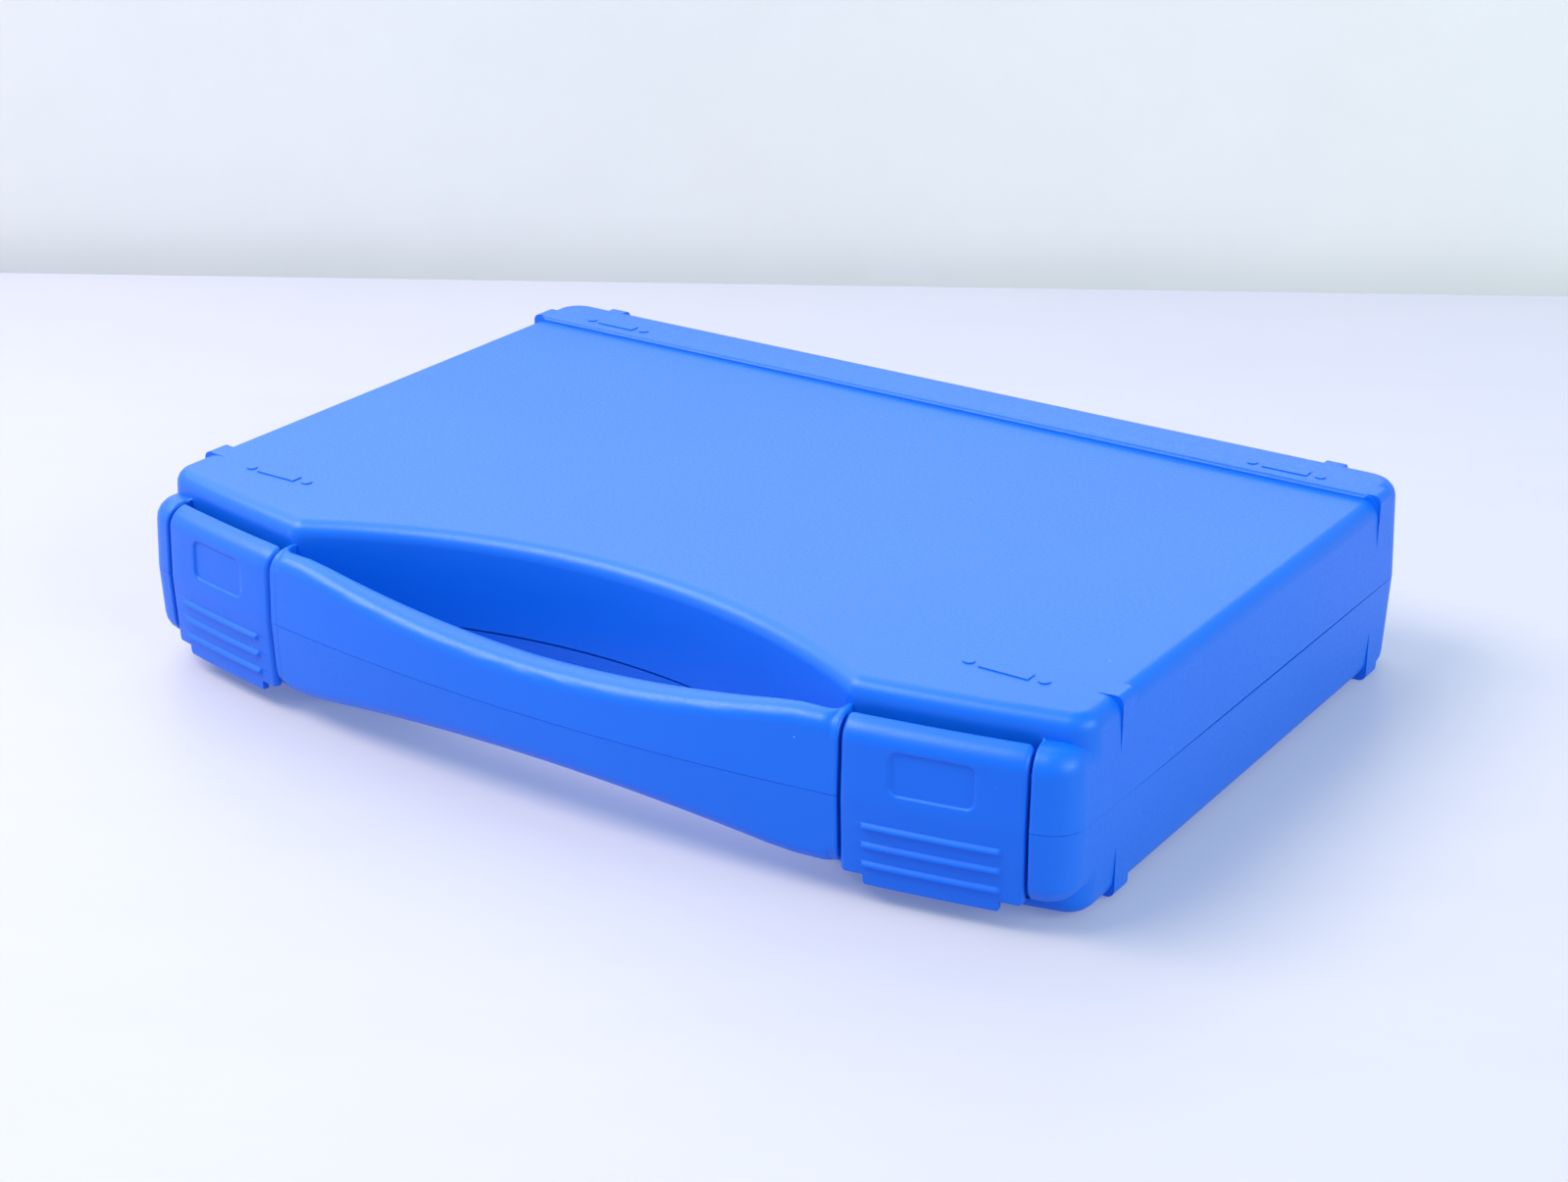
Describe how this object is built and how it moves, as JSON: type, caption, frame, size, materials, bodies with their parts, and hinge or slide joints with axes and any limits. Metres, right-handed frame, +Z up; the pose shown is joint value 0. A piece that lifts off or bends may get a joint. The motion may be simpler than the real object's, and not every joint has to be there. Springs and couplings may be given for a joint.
{
  "type": "hard carrying case",
  "caption": "Moulded hard case with mirrored half shells, a bowed front handle over a palm recess, snap latches and pinned rear hinges.",
  "frame": {"origin": "middle of the closed case's bounding rectangle, on the surface it lies on", "axes": "+X to the right along the front, +Y from the handle to the hinges, +Z up through the lid"},
  "size_m": [0.34, 0.2546, 0.0644],
  "materials": {
    "shell": "fine moulded texture with a soft sheen",
    "latch": "smooth satin",
    "pin": "drawn wire"
  },
  "bodies": {
    "base": {"base_shell": "shell", "hinge_pin_left": "pin", "hinge_pin_right": "pin"},
    "lid": {"lid_shell": "shell", "latch_pin_left": "pin", "latch_pin_right": "pin"},
    "latch_l": {"latch_left": "latch"},
    "latch_r": {"latch_right": "latch"}
  },
  "joints": [
    {"name": "lid_hinge", "type": "hinge", "parent": "base", "child": "lid", "pos_m": [0, 0.1233, 0.032], "axis": [-1, 0, 0], "range_deg": [0, 180]},
    {"name": "latch_left_pivot", "type": "hinge", "parent": "lid", "child": "latch_l", "pos_m": [-0.13045, -0.10925, 0.0502], "axis": [-0.9819, 0.1892, 0], "range_deg": [0, 95]},
    {"name": "latch_right_pivot", "type": "hinge", "parent": "lid", "child": "latch_r", "pos_m": [0.13045, -0.10925, 0.0502], "axis": [-0.9819, -0.1892, 0], "range_deg": [0, 95]}
  ]
}
